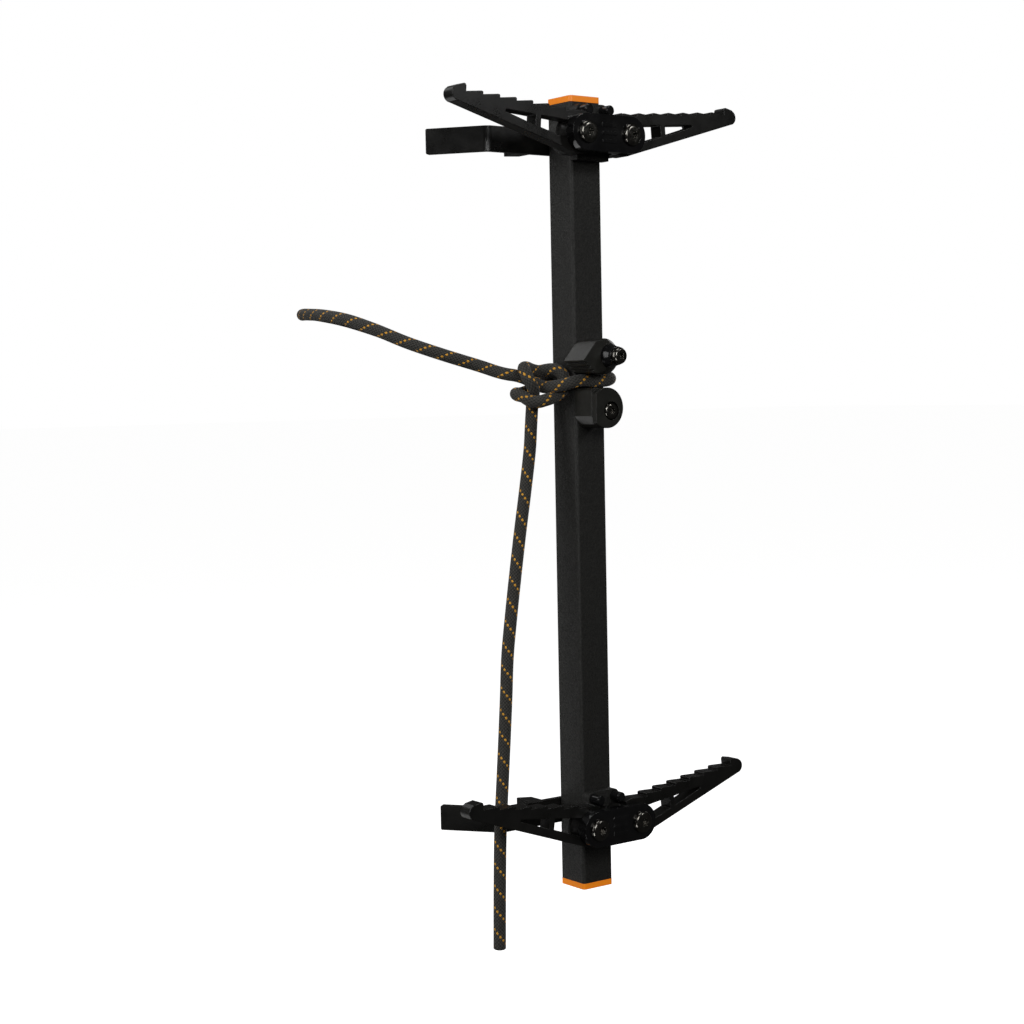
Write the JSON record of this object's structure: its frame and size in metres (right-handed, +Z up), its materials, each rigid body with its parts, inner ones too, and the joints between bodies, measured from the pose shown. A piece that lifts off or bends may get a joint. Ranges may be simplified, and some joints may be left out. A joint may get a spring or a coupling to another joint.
{
  "type": "climbing stick with rope cam",
  "caption": "Tree climbing stick with folding toothed step arms, bent trunk brackets and a rope held by a two-cam cleat.",
  "frame": {"origin": "on the plane where the trunk brackets' spurs bear on the trunk, on the stick's centre line, midway between its two ends", "axes": "+Z up along the tube, +Y into the trunk, -Y towards the climber, +X to the right of someone who faces the trunk"},
  "size_m": [0.2276, 0.2882, 0.5385],
  "materials": {
    "powder_coat": "fine-textured matt black powder coat",
    "satin_black": "smooth semi-gloss black",
    "gloss_black": "gloss black enamel",
    "black_steel": "polished blackened steel",
    "cam_black": "matt black hard coat with bright worn edges",
    "zinc_steel": "zinc plate",
    "bush_plastic": "natural nylon",
    "orange_plastic": "moulded orange plastic",
    "black_rope": "braided black cord with an orange tracer"
  },
  "bodies": {
    "stick": {"tube": "powder_coat", "cap_top": "orange_plastic", "cap_bottom": "orange_plastic", "rear_bracket_top": "powder_coat", "rear_bracket_bottom": "powder_coat", "front_plate_top": "gloss_black", "front_plate_bottom": "gloss_black", "pivot_bolts_top": "black_steel", "pivot_bolts_bottom": "black_steel", "pivot_sleeves_top": "zinc_steel", "pivot_sleeves_bottom": "zinc_steel", "pivot_inserts_top": "zinc_steel", "pivot_inserts_bottom": "zinc_steel", "friction_washers_top": "bush_plastic", "friction_washers_bottom": "bush_plastic", "stop_pins_top": "gloss_black", "stop_pins_bottom": "gloss_black", "tree_bracket_top": "satin_black", "tree_bracket_bottom": "satin_black", "spurs_top": "satin_black", "spurs_bottom": "satin_black", "bracket_rivets_top": "zinc_steel", "bracket_rivets_bottom": "zinc_steel", "through_bolts": "zinc_steel", "through_washers": "zinc_steel", "through_nuts": "zinc_steel", "cam_bolt_upper": "black_steel", "cam_bolt_lower": "black_steel", "cam_collar": "gloss_black", "cam_sleeve_upper": "zinc_steel", "cam_sleeve_lower": "zinc_steel", "cam_spring_upper": "zinc_steel", "cam_spring_lower": "zinc_steel", "cam_washers": "zinc_steel", "cam_nuts": "zinc_steel", "rope": "black_rope", "rope_stopper": "black_rope", "rope_end": "black_rope"},
    "arm_top_left": {"arm_top_left": "satin_black", "bush_top_left": "bush_plastic"},
    "arm_top_right": {"arm_top_right": "satin_black", "bush_top_right": "bush_plastic"},
    "arm_bottom_left": {"arm_bottom_left": "satin_black", "bush_bottom_left": "bush_plastic"},
    "arm_bottom_right": {"arm_bottom_right": "satin_black", "bush_bottom_right": "bush_plastic"},
    "upper_cam": {"cam_upper": "cam_black"},
    "lower_cam": {"cam_lower": "cam_black"}
  },
  "joints": [
    {"name": "fold_top_left", "type": "hinge", "parent": "stick", "child": "arm_top_left", "pos_m": [-0.0175, -0.055, 0.228], "axis": [0, 1, 0], "range_deg": [-0.5, 49.5]},
    {"name": "fold_top_right", "type": "hinge", "parent": "stick", "child": "arm_top_right", "pos_m": [0.0175, -0.055, 0.228], "axis": [0, -1, 0], "range_deg": [-0.5, 49.5]},
    {"name": "fold_bottom_left", "type": "hinge", "parent": "stick", "child": "arm_bottom_left", "pos_m": [-0.0175, -0.055, -0.2096], "axis": [0, 1, 0], "range_deg": [-3.7, 46.2]},
    {"name": "fold_bottom_right", "type": "hinge", "parent": "stick", "child": "arm_bottom_right", "pos_m": [0.0175, -0.055, -0.2096], "axis": [0, -1, 0], "range_deg": [-3.7, 46.2]},
    {"name": "upper_cam_open", "type": "hinge", "parent": "stick", "child": "upper_cam", "pos_m": [0, -0.055, 0.0895], "axis": [0, 1, 0], "range_deg": [0, 25], "stiffness_Nm_per_rad": 0.05, "springref_deg": -20.05},
    {"name": "lower_cam_open", "type": "hinge", "parent": "stick", "child": "lower_cam", "pos_m": [0, -0.055, 0.055], "axis": [0, -1, 0], "range_deg": [0, 25], "stiffness_Nm_per_rad": 0.05, "springref_deg": -20.05}
  ]
}
